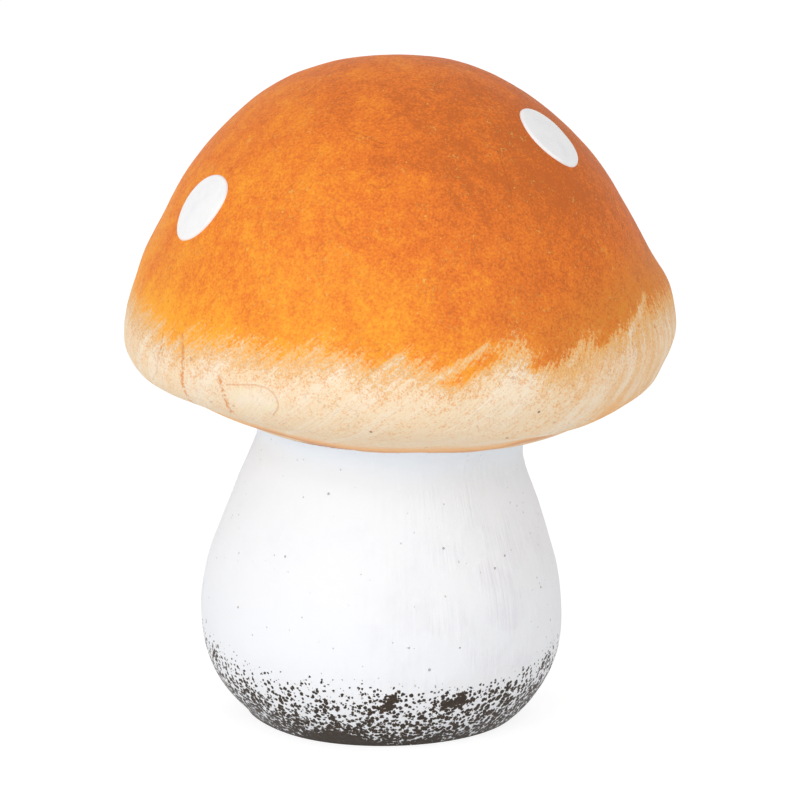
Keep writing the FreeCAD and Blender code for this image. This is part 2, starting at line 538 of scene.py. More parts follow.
def stroke_field(points, strokes):
    """How much soft strokes between pairs of pixels cover each point, 0 to 1."""
    cover = np.zeros(points.shape[:-1])
    for first, last, width in strokes:
        offset = from_line(points, *seen(CAP_TREE, (first, last)))
        gap = np.linalg.norm(offset, axis=-1)
        cover = np.maximum(cover, np.exp(-(gap / width) ** 2))
    return cover


def mark_offsets(points, lines):
    """The way from the nearest mark to each point. Away from all marks it is a fixed long way."""
    best = np.full(points.shape, MARK_REACH * 3)
    least = np.full(points.shape[:-1], MARK_REACH)
    for pixels in lines:
        places = list(seen(CAP_TREE, pixels))
        for start, end in zip(places, places[1:] or places):
            offset = from_line(points, start, end)
            gap = np.linalg.norm(offset, axis=-1)
            nearer = gap < least
            best[nearer] = offset[nearer]
            least[nearer] = gap[nearer]
    return best


def brush_place(around, run, radius, slant, squeeze):
    """A place for a noise, so that it runs in strokes: slanted from straight up, and drawn out."""
    turn = around + (run - BRUSH_MIDDLE) * np.tan(np.radians(slant)) / radius
    return np.stack((radius * np.sin(turn), radius * np.cos(turn), run * squeeze), axis=-1)


def cap_attributes(points, around, run):
    edge_around, edge_run = on_cap(BAND_EDGE)
    edge = round_the_back(edge_around, edge_run, np.degrees(around))
    lift = stroke_field(points, CREAM_STROKES) - stroke_field(points, ORANGE_STROKES)
    lip = round_the_back(*on_cap(LIP_EDGE), np.degrees(azimuths(CAP_COLUMNS)))
    lip = smoothed(lip, LIP_BLUR)[None]
    slant = np.interp(np.degrees(around), *zip(*BRUSH_SLANTS))
    return {
        "band": run - edge + STROKE_REACH * lift,
        "rim": run - lip,
        "leaf": stroke_field(points, LEAF),
        "brush": brush_place(around, run, CAP_BRUSH_RADIUS, slant, CAP_BRUSH_SQUEEZE),
        "crease": mark_offsets(points, CREASES),
        "hairline": mark_offsets(points, HAIRLINES),
        "pit": mark_offsets(points, DARK_PITS),
    }


# The cap's glaze

ORANGE_GOLD = tint(255, 206, 112)
ORANGE_BRIGHT = tint(254, 172, 56)
ORANGE_MIDDLE = tint(246, 148, 52)
ORANGE_RED = tint(235, 124, 50)
ORANGE_BROWN = tint(205, 107, 48)
OCHRE = tint(222, 146, 62)
PEACH = tint(250, 194, 124)
CREAM = tint(252, 228, 194)
CREAM_WARM = tint(248, 205, 154)
CREAM_PALE = tint(254, 238, 214)
SPECK_BROWN = tint(238, 154, 78)
TAN = tint(255, 195, 130)
# Brown of the painted shade along the lip's lower edge, and the tint of the joining slip where it
# meets the cap
RIM_SHADE_AND_JOINT_BROWN = tint(232, 172, 132)
CREASE_ORANGE = tint(242, 146, 66)
LEAF_GREEN = tint(243, 231, 178)
PIT_BROWN = tint(120, 72, 44)
BARE_CLAY = tint(250, 219, 180)
# Where tones shade from one to the next: heights, and places from left to right. Towards the top and
# the right the orange turns browner and the cream warmer, partly with painted shade.
CAP_BROWN_AND_SHADE_HEIGHTS = (60.0, 110.0)
CAP_BROWN_AND_SHADE_SIDES = (-26.0, 46.0)
OCHRE_SIDES = (12.0, 40.0)
WARM_AND_SHADE_SIDES = (20.0, 45.0)


def orange_glaze(paint, place, band, worms):
    """The mottled orange: blotches, smaller mottling and a fine grain, browner towards the top and the
    right, partly as painted shade.
    """
    tall = paint.vectors("MULTIPLY", place, (1.0, 1.0, 0.4))
    blotch = paint.noise(place, size=15.0, roughness=0.55, distortion=0.6)
    streaks = paint.noise(tall, size=3.4, detail=4.0, roughness=0.6)
    mottle = paint.noise(place, size=1.5, detail=4.0, roughness=0.65)
    grain = paint.noise(place, size=0.42, detail=2.0, roughness=0.7)
    parts = paint.node("SeparateXYZ", {0: place}).outputs
    # Browner towards the right and the top: partly the glaze's own colour, partly painted shade away
    # from the key light at the front left.
    height = paint.step(parts["Z"], *CAP_BROWN_AND_SHADE_HEIGHTS)
    side = paint.step(parts["X"], *CAP_BROWN_AND_SHADE_SIDES)
    brown_and_painted_shade = paint.total(paint.times(side, 0.31), (height, 0.22))
    brown_and_painted_shade = paint.math("SUBTRACT", brown_and_painted_shade, paint.step(band, -9.0, 0.0, 0.0, 0.1))
    tone = paint.total(brown_and_painted_shade, (blotch, 0.6), (mottle, 0.5), (streaks, 0.4), (grain, 0.9))
    faded = paint.times(paint.step(parts["X"], *OCHRE_SIDES),
                       paint.step(band, -14.0, -1.0, 0.0, 0.85))
    faded = paint.times(faded, paint.step(grain, 0.38, 0.62, 1.0, 0.25))
    colour = paint.layers(ORANGE_BRIGHT,
                          (paint.step(tone, 1.02, 1.3), ORANGE_MIDDLE),
                          (paint.step(tone, 1.24, 1.5), ORANGE_RED),
                          (paint.step(tone, 1.44, 1.74), ORANGE_BROWN),
                          (faded, OCHRE))
    flecks = paint.dots(place, spacing=0.9, radius=0.13, share=0.3)
    glints = paint.times(flecks, paint.step(mottle, 0.5, 0.6))
    glints = paint.math("MAXIMUM", paint.times(worms, 0.7), glints)
    return paint.blend(paint.times(glints, 0.55), colour, ORANGE_GOLD)


def worm_marks(paint, place):
    """Short fine ridges that wander, in patches."""
    wave = paint.math("SUBTRACT", paint.noise(place, size=1.3, detail=1.0), 0.5)
    ridge = paint.step(paint.math("ABSOLUTE", wave), 0.006, 0.022, 1.0, 0.0)
    broken = paint.step(paint.noise(place, size=0.9, detail=1.0), 0.48, 0.56)
    patch = paint.step(paint.noise(place, size=6.5, detail=2.0), 0.50, 0.60)
    return paint.times(ridge, paint.times(broken, patch))


def cream_glaze(paint, place, brush, band):
    """The brushed cream of the rim, streaked, freckled and tan towards the lip, and warmer towards the
    right, partly as painted shade.
    """
    streak = paint.noise(brush, size=1.1, detail=4.0, roughness=0.65)
    broad = paint.noise(brush, size=4.0, roughness=0.6)
    grain = paint.noise(place, size=0.36, detail=2.0, roughness=0.75)
    mottle = paint.noise(place, size=1.5, detail=4.0, roughness=0.7)
    # Warmer and darker towards the right: partly the cream's own tone, partly painted shade away from
    # the key light.
    side = paint.step(paint.node("SeparateXYZ", {0: place}).outputs["X"], *WARM_AND_SHADE_SIDES, 0.0, 0.34)
    warmth_and_painted_shade = paint.math("ADD", side, paint.step(band, -2.0, 9.0, 0.26, 0.0))
    tone = paint.total(warmth_and_painted_shade, (streak, 0.75), (mottle, 0.7), (grain, 0.8))
    pale = paint.total(broad, (streak, 0.5))
    dust = paint.total(grain, (mottle, 0.5))
    dust = paint.math("ADD", dust, paint.step(band, 0.0, 9.0, 0.05, 0.0))
    dust = paint.times(paint.step(dust, 0.78, 0.92), paint.step(band, 1.0, 13.0, 0.6, 0.25))
    return paint.layers(CREAM,
                        (paint.step(tone, 1.08, 1.5), CREAM_WARM),
                        (paint.step(pale, 0.72, 0.92, 0.0, 0.75), CREAM_PALE),
                        (dust, SPECK_BROWN))


def rim_share(paint, place, brush, band):
    """0 to 1 from orange to peach, and from peach to cream, ragged where they meet."""
    coarse = paint.noise(brush, size=2.2, roughness=0.6)
    fine = paint.noise(brush, size=0.45, roughness=0.7)
    grain = paint.noise(place, size=0.5, detail=2.0, roughness=0.7)
    edge = band
    for ragged, reach in ((coarse, 5.0), (fine, 9.0), (grain, 10.0)):
        edge = paint.total(edge, (paint.math("SUBTRACT", ragged, 0.5), reach))
    return paint.step(edge, -1.8, 1.4), paint.step(edge, 0.0, 4.6)


def near_mask(paint, offset, width, soft):
    """1 within a width of a mark whose offset the mesh carries, 0 away from it."""
    gap = paint.vectors("LENGTH", offset, output="Value")
    return paint.step(gap, width, width + soft, 1.0, 0.0)


CAP_GLOSS = 0.07


def cap_material():
    """The whole glaze of the cap: its colours, its marks and their relief."""
    paint = new_paint("cap_glaze")
    place = paint.place()
    brush = paint.attribute("brush", "Vector")
    band = paint.attribute("band")
    rim = paint.attribute("rim")
    peach, share = rim_share(paint, place, brush, band)
    worms = worm_marks(paint, place)
    orange = orange_glaze(paint, place, band, worms)
    cream = cream_glaze(paint, place, brush, band)
    colour = paint.blend(share, paint.blend(peach, orange, PEACH), cream)

    specks = paint.dots(place, spacing=0.8, radius=0.13, share=0.4)
    near_edge = paint.step(paint.math("ABSOLUTE", band), 0.5, 6.5, 0.8, 0.15)
    mottle = paint.noise(place, size=1.2)
    low = paint.total(rim, (mottle, 2.4))
    leaf = paint.attribute("leaf")
    streak = paint.step(paint.noise(brush, size=1.4), 0.45, 0.6)
    colour = paint.layers(colour,
                          (paint.times(specks, near_edge), SPECK_BROWN),
                          (paint.step(low, -5.4, 0.6, 0.0, 0.85), TAN),
                          # Just past the lip's lower edge as the camera sees it, a brown band: painted
                          # shade where the lip turns under
                          (paint.step(low, 0.5, 3.2, 0.0, 0.8), RIM_SHADE_AND_JOINT_BROWN),
                          (paint.step(low, 4.4, 7.4, 0.0, 0.9), BARE_CLAY),
                          (paint.times(leaf, 0.8), CREAM_PALE),
                          (paint.times(leaf, streak), LEAF_GREEN))

    wobble = paint.noise(place, size=0.6, output="Color")
    shake = paint.vectors("SUBTRACT", wobble, (0.5, 0.5, 0.5))
    ragged = paint.vectors("MULTIPLY_ADD", shake, (1.3, 1.3, 1.3), paint.attribute("crease", "Vector"))
    dotted = paint.step(paint.noise(place, size=0.5, detail=1.0), 0.40, 0.54)
    crease = paint.times(near_mask(paint, ragged, 0.16, 0.34), dotted)
    hairline = near_mask(paint, paint.attribute("hairline", "Vector"), 0.05, 0.17)
    thread = paint.blend(share, ORANGE_BROWN, CREASE_ORANGE)
    dark = near_mask(paint, paint.attribute("pit", "Vector"), 0.12, 0.2)
    pits = paint.dots(place, spacing=3.4, radius=0.24, share=0.35)
    colour = paint.layers(colour,
                          (paint.times(crease, 0.8), CREASE_ORANGE),
                          (paint.times(hairline, 0.32), thread),
                          (paint.times(pits, 0.35), ORANGE_BROWN),
                          (paint.times(dark, 0.75), PIT_BROWN))

    grains = paint.dots(place, spacing=1.6, radius=0.17, share=0.3)
    patchy = paint.step(paint.noise(place, size=9.0, detail=2.0), 0.46, 0.62)
    grains = paint.times(grains, patchy)
    bristle = paint.noise(brush, size=0.5, roughness=0.6)
    bristle = paint.times(bristle, share)
    skin = paint.noise(place, size=0.5, roughness=0.65)
    height = paint.total(paint.times(grains, 0.07), (skin, 0.05), (worms, 0.06),
                         (bristle, 0.16), (pits, -0.09), (dark, -0.14), (crease, -0.10),
                         (hairline, -0.08))
    rough = paint.total(0.44, (mottle, 0.16), (share, 0.12))
    return paint.finish(Base_Color=colour, Roughness=rough, Specular_IOR_Level=CAP_GLOSS,
                        Normal=paint.bump(height))


def make_cap():
    """The cap's skin, closed over the mouth where the spigot hides it."""
    top = MOUTH_HEIGHT + CLOSING_HEIGHT
    inside = turned(closing(MOUTH_RADIUS, MOUTH_HEIGHT, top), CAP_COLUMNS)[0][1:]
    grid = np.concatenate((CAP_POINTS[1:], set_on_stem(inside)))
    poles = (CAP_POINTS[0, 0], set_on_stem(top * UPWARD))
    faces = grid_faces(len(grid), CAP_COLUMNS, True, True)
    values = cap_attributes(CAP_POINTS, CAP_AROUND, CAP_RUN)
    attributes = {}
    for name, field in values.items():
        rest = np.broadcast_to(field[-1:], (len(inside), *field.shape[1:]))
        attributes[name] = with_poles(np.concatenate((field[1:], rest)))
    make_piece("cap_skin", flat(grid, *poles), faces, cap_material(), ["cap"],
               sharp=50, attributes=attributes)


# The stem's shape

STEM_STEP = 0.34
STEM_COLUMNS = 600
HEEL_RADIUS = (FOOT_INSET ** 2 + BELLY_HEIGHT ** 2) / (2 * FOOT_INSET)
HEEL_CENTRE = np.array((BELLY_RADIUS - HEEL_RADIUS, BELLY_HEIGHT))
HEEL_FIRST = math.degrees(math.acos((FOOT_BEVEL - BELLY_HEIGHT) / HEEL_RADIUS))
NECK_TOP = np.array((NECK_RADIUS, NECK_HEIGHT))
BELOW_FOOT = 3.0
# Over this height above the foot, and under the neck's top, the lumps fade in
SETTLE = 4.0
NECK_SETTLE = 5.0
FOOT_ROWS = 12
FOOT_SEARCH_ROWS = 60
STEM_LUMPS = ((14.0, 0.35), (4.5, 0.09), (1.8, 0.025))
STEM_SEED = 7
STEM_LOBES = (((-90, 20), (40, 7), -0.25), ((60, 30), (30, 9), 0.15))
FOOT_DENT = ((-62, 0), (26, 5), 0.9)
STEM_BRUSH = {"radius": 28.0, "slant": 2.0, "squeeze": 0.07}


def stem_outline():
    """The stem's side from below the level foot up to the shoulder."""
    heel = arc(HEEL_CENTRE, HEEL_RADIUS, HEEL_FIRST, 90, STEM_STEP)
    start = np.array(heel[0][:2])
    bevel = straight(start, start + BELOW_FOOT * outward(HEEL_FIRST + 90), STEM_STEP)
    belly = arc(BELLY_CENTRE, BELLY_ARC_RADIUS, 90, 90 - BELLY_SWEEP, STEM_STEP)
    neck = straight(NECK_TOP, BELLY_END, STEM_STEP)
    return outline(bevel[::-1], heel, belly, neck[::-1])


STEM_ROWS = stem_outline()


def stem_column(around, count):
    """Rows of one column of the stem's side, the first one where it meets the level foot."""
    near_foot = STEM_ROWS[:FOOT_SEARCH_ROWS]
    places = round_axis(around, near_foot[:, 0], near_foot[:, 1])
    first = np.interp(0, rotated(places, STEM_LEAN)[:, 2], near_foot[:, 4])
    runs = np.linspace(first, STEM_ROWS[-1, 4], count)
    return np.stack([np.interp(runs, STEM_ROWS[:, 4], STEM_ROWS[:, i]) for i in range(5)], axis=-1)


def stem_side():
    """Points of the stem's side in place, with the angle and the run of each."""
    count = len(STEM_ROWS)
    around = azimuths(STEM_COLUMNS)
    rows = np.stack([stem_column(angle, count) for angle in around], axis=1)
    points = round_axis(around, rows[..., 0], rows[..., 1])
    normals = round_axis(around, rows[..., 2], rows[..., 3])
    turn = np.broadcast_to(around[None, :], points.shape[:2])
    height = swellings(turn, rows[..., 4], STEM_LOBES, points, STEM_LUMPS, STEM_SEED)
    settle = (np.clip(rows[..., 1] / SETTLE, 0, 1)
              * np.clip((NECK_HEIGHT - rows[..., 1]) / NECK_SETTLE, 0, 1))
    centre, spread, size = FOOT_DENT
    dent = size * lobe(turn, rows[..., 1], centre, spread)
    points = points + normals * (height * settle)[..., None] - sideways(around) * dent[..., None]
    placed = rotated(points, STEM_LEAN)
    placed[0, :, 2] = 0
    return placed, turn, rows[..., 4]


STEM_POINTS, STEM_AROUND, STEM_RUN = stem_side()
STEM_TREE = skin_tree(STEM_POINTS)

# The upper edge of the spatter, and the larger dark blotches with their radius in millimetres
# and their strength, as seen in the photograph
SPATTER_EDGE = ((203, 612), (215, 636), (240, 655), (280, 668), (330, 678), (400, 684), (460, 684),
                (500, 674), (525, 662), (545, 646), (558, 628))
BLOTCHES = (((388, 705), 1.6, 1.0), ((394, 697), 0.9, 1.0), ((447, 704), 2.0, 0.9),
            ((463, 699), 1.6, 0.9), ((490, 699), 2.0, 0.7), ((215, 655), 1.4, 0.5),
            ((547, 658), 1.2, 0.6), ((505, 694), 2.0, 0.6), ((340, 738), 5.0, 0.3))
BLOTCH_DEPTH = 0.8


def spatter_field(points, around):
    """How thick the dark spatter lies: 0 at its upper edge, 1 at the foot."""
    edge = seen(STEM_TREE, SPATTER_EDGE)
    turn = np.degrees(np.arctan2(edge[:, 0], -edge[:, 1]))
    top = round_the_back(turn, edge[:, 2], np.degrees(around))
    thick = 1 - points[..., 2] / top
    for pixel, radius, strength in BLOTCHES:
        centre = seen(STEM_TREE, (pixel,))[0]
        gap = np.linalg.norm(points - centre, axis=-1)
        thick = thick + strength * BLOTCH_DEPTH * np.exp(-(gap / radius) ** 2)
    return thick


# The stem's slip

WHITE = tint(246, 248, 252)
WHITE_SHADE = tint(239, 240, 246)
WHITE_COOL_PAINTED_LIGHT = tint(241, 248, 255)
DARK_GLAZE = tint(60, 51, 44)
DARK_EDGE = tint(98, 82, 68)
PINHOLE = tint(150, 149, 153)
COOL_PAINTED_LIGHT_HEIGHTS = (26.0, 46.0)
SPATTER_SPACING = 0.66
# How far the dots reach in their cells, by how thick the spatter lies
SPATTER_CURVE = ((0.1, 0.2), (0.35, 0.44), (0.6, 0.59), (0.9, 0.69))
STEM_GLOSS = 0.15


def white_slip(paint, place, brush, ridged):
    """Brushed white, cooler towards the top as painted light: its colour and its height in
    millimetres.
    """
    cloud = paint.noise(place, size=9.0, roughness=0.55)
    streak = paint.noise(brush, size=0.95, roughness=0.6)
    grain = paint.noise(place, size=0.4, detail=2.0, roughness=0.6)
    patchy = paint.step(paint.noise(place, size=6.0, detail=2.0), 0.4, 0.62)
    patchy = paint.times(ridged, patchy)
    brushed = paint.times(streak, paint.total(0.1, (patchy, 0.25)))
    tone = paint.total(brushed, (cloud, 0.6))
    height = paint.node("SeparateXYZ", {0: place}).outputs["Z"]
    pinholes = paint.dots(place, spacing=2.6, radius=0.17, share=0.4)
    tiny = paint.dots(place, spacing=1.2, radius=0.11, share=0.35)
    holes = paint.math("MAXIMUM", pinholes, paint.times(tiny, 0.6))
    # Towards the top, under the cap, the white turns cooler: painted light that cancels the orange
    # light the cap throws down on the stem.
    colour = paint.layers(WHITE,
                          (paint.step(tone, 0.36, 0.66), WHITE_SHADE),
                          (paint.step(height, *COOL_PAINTED_LIGHT_HEIGHTS, 0.0, 0.8), WHITE_COOL_PAINTED_LIGHT),
                          (paint.times(holes, 0.7), PINHOLE))
    ridges = paint.times(streak, paint.total(0.02, (patchy, 0.24)))
    return colour, paint.total(ridges, (grain, 0.03), (holes, -0.13))


def spatter_share(paint, place, thick):
    """1 on dark spatter: lone dots at its upper edge that grow and join towards the foot."""
    wobble = paint.noise(place, size=0.5, detail=1.0, output="Color")
    bent = paint.vectors("MULTIPLY_ADD", wobble, (0.5, 0.5, 0.5), place)
    cells = paint.node("TexVoronoi", {"Vector": bent, "Scale": 1 / SPATTER_SPACING})
    chance = paint.node("SeparateColor", {0: cells.outputs["Color"]}).outputs[0]
    clumps = paint.noise(place, size=4.0, detail=2.0)
    reach = paint.node("FloatCurve", {"Value": thick})
    curve = reach.mapping.curves[0]
    curve.points[0].location = (0.0, 0.0)
    curve.points[1].location = (1.0, 1.0)
    for spot in SPATTER_CURVE:
        curve.points.new(*spot)
    reach.mapping.update()
    over = paint.math("SUBTRACT", reach.outputs[0], cells.outputs["Distance"])
    over = paint.total(over, (paint.math("SUBTRACT", chance, 0.5), 0.44),
                       (paint.math("SUBTRACT", clumps, 0.5), 0.35))
    return paint.step(over, -0.02, 0.05), paint.step(over, -0.12, 0.03)


def stem_material():
    """White slip with dark spatter over it, thickest at the foot."""
    paint = new_paint("stem_slip")
    place = paint.place()
    thick = paint.attribute("thick")
    brush = paint.attribute("brush", "Vector")
    colour, height = white_slip(paint, place, brush, paint.attribute("ridged"))
    dark, halo = spatter_share(paint, place, thick)
    mottle = paint.noise(place, size=0.7)
    black = paint.blend(paint.step(mottle, 0.45, 0.75, 0.0, 0.5), DARK_GLAZE, DARK_EDGE)
    fringe = paint.times(halo, paint.step(thick, 0.35, 0.95, 0.0, 0.35))
    colour = paint.layers(colour, (fringe, DARK_EDGE), (dark, black))
    height = paint.total(height, (dark, 0.05))
    rough = paint.step(dark, 0.0, 1.0, 0.72, 0.5)
    return paint.finish(Base_Color=colour, Roughness=rough, Specular_IOR_Level=STEM_GLOSS,
                        Normal=paint.bump(height))


# The brush's ridges: the least anywhere, then angle round, spread and strength of more
RIDGED_LEAST = 0.12
RIDGED_FRONT = (38, 34, 0.9)
RIDGED_BACK = (170, 45, 0.5)


def ridge_field(around):
    """Where the brush left ridges: mostly on the right half of the front, and at the back."""
    ridged = RIDGED_LEAST
    for turn, (centre, spread, strength) in ((around, RIDGED_FRONT), (np.abs(around), RIDGED_BACK)):
        ridged = ridged + strength * np.exp(-((np.degrees(turn) - centre) / spread) ** 2)
    return np.clip(ridged, 0, 1)


VENT_BEVEL = 0.35
# The pocket over the vent, dark as painted shade for the hollow inside the stem: radius and height
# over the floor of each ring, and its top
POCKET_RINGS = ((9.0, 0.4), (1.1 * VENT_RADIUS, 0.1))
POCKET_TOP = 8.0


def make_stem():
    """The stem with its vent, closed over the spigot that the cap hides."""
    around = azimuths(STEM_COLUMNS)
    pocket = [round_axis(around, radius, FOOT_THICKNESS + rise) for radius, rise in POCKET_RINGS]
    vent = [round_axis(around, VENT_RADIUS, height)
            for height in (FOOT_THICKNESS, FOOT_THICKNESS / 2, VENT_BEVEL)]
    lead = [round_axis(around, VENT_RADIUS + VENT_BEVEL, 0)]
    shares = np.linspace(0, 1, FOOT_ROWS + 1)[1:-1, None, None]
    foot = lead[0] + (STEM_POINTS[0] - lead[0]) * shares
    top = NECK_HEIGHT + SPIGOT_HEIGHT
    spigot = turned(closing(SPIGOT_RADIUS, NECK_HEIGHT, top), STEM_COLUMNS)[0]
    start = (pocket, vent, lead, foot)
    grid = np.concatenate((*start, STEM_POINTS, rotated(spigot, STEM_LEAN)))
    before = sum(len(part) for part in start)
    side = slice(before, before + len(STEM_POINTS))
    # The foot and the vent take the dark glaze; in the pocket the same dark is painted shade for the
    # hollow stem
    thick = np.ones(grid.shape[:2])
    thick[side] = spatter_field(STEM_POINTS, STEM_AROUND)
    thick[side.stop:] = 0
    brush = np.zeros(grid.shape)
    brush[side] = brush_place(STEM_AROUND, STEM_RUN, **STEM_BRUSH)
    ridged = np.broadcast_to(ridge_field(around)[None], grid.shape[:2])
    poles = ((FOOT_THICKNESS + POCKET_TOP) * UPWARD, rotated(top * UPWARD, STEM_LEAN))
    attributes = {"thick": with_poles(thick), "ridged": with_poles(ridged), "brush": with_poles(brush)}
    faces = [face[::-1] for face in grid_faces(len(grid), STEM_COLUMNS, True, True)]
    make_piece("stem_skin", flat(grid, *poles), faces, stem_material(), ["stem"],
               sharp=40, attributes=attributes)


# The joining slip

FILLET_ROWS = 30
FILLET_REACH = {"right": 6.4, "left": 3.0}
FILLET_DEPTH = 0.5
# It reaches less far down the neck than out under the cap, and lies a little inside both
FILLET_DROP = 1.5
FILLET_SINK = 0.03
FILLET_TUCK = 1.0
FILLET_LEAST = 0.4
# How its reach wavers: share, waves round, phase
FILLET_WAVES = ((0.12, 3, 1.0), (0.06, 7, 0.0))
FILLET_LUMPS = (2.2, 0.10)
FILLET_SEED = 31
FILLET_RUN = 6.0
CORNER_SEARCH = (-14.0, 0.0)
CORNER_HALVINGS = 30


def neck_point(around, drop, inset):
    """A place on the neck, a drop below its top along the slope, an inset under its skin."""
    place = NECK_TOP - outward(-BELLY_SWEEP) * drop - outward(90 - BELLY_SWEEP) * inset
    return rotated(round_axis(around, *place), STEM_LEAN)


def below_cap(point):
    """How far a place in the cap's frame lies below the underside."""
    return underside_height(math.hypot(point[0], point[1])) - point[2]


def corner_point(around):
    """Where the neck, carried on upwards, meets the underside of the cap."""
    low, high = CORNER_SEARCH
    for _ in range(CORNER_HALVINGS):
        middle = (low + high) / 2
        if below_cap(off_stem(neck_point(around, middle, 0))) > 0:
            high = middle
        else:
            low = middle
    return neck_point(around, middle, 0)


def cap_point(corner, reach, inset):
    """A place on the underside, a reach further out than the corner, an inset under it."""
    x, y, z = off_stem(corner)
    radius = math.hypot(x, y)
    further = radius + reach * abs(outward(LIP_LAST + 90)[0])
    height = underside_height(further) + inset
    return set_on_stem(np.array((x * further / radius, y * further / radius, height)))


def fillet_column(around):
    """One closed loop of the joining slip, from the neck round to the cap and back inside."""
    side = (1 + math.sin(around)) / 2
    reach = FILLET_REACH["left"] + side * (FILLET_REACH["right"] - FILLET_REACH["left"])
    reach *= 1 + sum(size * math.sin(waves * around + phase) for size, waves, phase in FILLET_WAVES)
    corner = corner_point(around)
    low = neck_point(around, reach - FILLET_DROP, FILLET_SINK)
    high = cap_point(corner, reach, FILLET_SINK)
    inner = round_axis(around, SPIGOT_RADIUS, NECK_HEIGHT)
    drop = max(reach - FILLET_DROP - FILLET_TUCK, FILLET_LEAST)
    return np.array([(1 - share) ** 2 * low + 2 * share * (1 - share) * corner + share ** 2 * high
                     for share in np.linspace(0, 1, FILLET_ROWS)]
                    + [cap_point(corner, reach - FILLET_TUCK, FILLET_DEPTH),
                       rotated(inner + BED_THICKNESS * UPWARD, STEM_LEAN),
                       rotated(inner - FILLET_DEPTH * UPWARD, STEM_LEAN),
                       neck_point(around, drop, FILLET_DEPTH)])


def slip_material():
    """The stem's white slip, tinted where it meets the cap."""
    paint = new_paint("luting_slip")
    place = paint.place()
    brush = paint.attribute("brush", "Vector")
    colour, height = white_slip(paint, place, brush, paint.attribute("ridged"))
    mottle = paint.noise(place, size=1.0)
    near = paint.total(paint.attribute("near_cap"), (mottle, 0.5))
    # Where it meets the cap, the slip takes a brown tint at the joint
    colour = paint.blend(paint.step(near, 1.15, 1.35, 0.0, 0.9), colour, RIM_SHADE_AND_JOINT_BROWN)
    return paint.finish(Base_Color=colour, Roughness=0.72, Normal=paint.bump(height))


def make_luting_slip():
    """The fillet of slip, a closed loop turned round the neck."""
    around = azimuths(STEM_COLUMNS)
    grid = np.stack([fillet_column(angle) for angle in around], axis=1)
    size, depth = FILLET_LUMPS
    lumps = depth * wander(grid, size, seed=FILLET_SEED)
    shares = np.linspace(0, 1, FILLET_ROWS)
    fade = np.zeros(len(grid))
    fade[:FILLET_ROWS] = np.clip(np.sin(np.pi * shares), 0, 1)
    grid = grid + sideways(around)[None] * (lumps * fade[:, None])[..., None]
    near = np.ones(grid.shape[:2])
    near[:FILLET_ROWS] = shares[:, None]
    run = STEM_ROWS[-1, 4] + FILLET_RUN * near
    turn = np.broadcast_to(around[None], near.shape)
    ridged = np.broadcast_to(ridge_field(around)[None], near.shape)
    attributes = {"near_cap": near.ravel(), "ridged": ridged.ravel(),
                  "brush": brush_place(turn, run, **STEM_BRUSH).reshape(-1, 3)}
    faces = [face[::-1] for face in grid_faces(len(grid), STEM_COLUMNS, closed_loop=True)]
    make_piece("luting_fillet", flat(grid), faces, slip_material(), ["luting_ring"],
               sharp=50, attributes=attributes)


# The enamel spots

SPOT_RINGS = 26
SPOT_COLUMNS = 128
SPOT_EDGE = 0.5
SPOT_SINK = 0.15
SPOT_DOME = 0.12
# Rings lie closer towards the edge, and the last two turn in under it
SPOT_RING_POWER = 0.8
SPOT_UNDER_SHARES = (1.0, 0.96)
# How its edge wavers: share, waves round, phase
SPOT_WAVES = ((0.012, 3, 1), (0.006, 5, 2))
ENAMEL = tint(248, 247, 247)
ENAMEL_SHADE = tint(241, 241, 244)


def spot_frame(slope, around):
    """The ways out of the crown, downhill and across at a spot."""
    turn = math.radians(around)
    normal = round_axis(turn, *outward(slope))
    downhill = round_axis(turn, *outward(slope + 90))
    return normal, downhill, np.cross(normal, downhill)


def on_crown(direction, lift):
    """A place on the crown's real skin in a direction from its centre."""
    place = CROWN_RADIUS * (direction - UPWARD)
    around = np.arctan2(direction[..., 0], -direction[..., 1])
    run = CROWN_RADIUS * np.arccos(np.clip(direction[..., 2], -1, 1))
    relief = cap_relief(around, run, place)
    return place + direction * (relief + lift)[..., None]


def spot_points(slope, around, twist, seed):
    """An oval of enamel with a rounded edge that follows the crown."""
    normal, first, second = spot_frame(slope, around)
    shares = np.append(np.linspace(0, 1, SPOT_RINGS)[1:] ** SPOT_RING_POWER, SPOT_UNDER_SHARES)
    angles = np.linspace(0, 2 * math.pi, SPOT_COLUMNS, endpoint=False)
    waver = 1 + sum(size * np.sin(waves * angles + phase * seed) for size, waves, phase in SPOT_WAVES)
    longer, shorter = SPOT_REACH * np.cos(angles), SPOT_BREADTH * np.sin(angles)
    edge = np.hypot(longer, shorter)
    reach = (shares[:, None] * edge * waver)[..., None] / CROWN_RADIUS
    turn = math.radians(twist)
    longer_way = math.cos(turn) * first + math.sin(turn) * second
    shorter_way = math.cos(turn) * second - math.sin(turn) * first
    way = (longer[:, None] * longer_way + shorter[:, None] * shorter_way) / edge[:, None]
    direction = np.cos(reach) * normal + np.sin(reach) * way
    inner = np.clip((1 - shares) * SPOT_BREADTH / SPOT_EDGE, 0, 1)
    lift = SPOT_THICKNESS * np.sqrt(1 - (1 - inner) ** 2)
    lift[-2:] = (-SPOT_SINK, -2 * SPOT_SINK)
    lift = np.broadcast_to(lift[:, None], direction.shape[:2])
    dome = SPOT_DOME * (1 - shares ** 2)[:, None]
    lift = lift + np.where(lift > 0, dome, 0)
    top = on_crown(np.array([normal]), np.array([SPOT_THICKNESS + SPOT_DOME]))[0]
    return set_on_stem(on_crown(direction, lift)), set_on_stem(top)


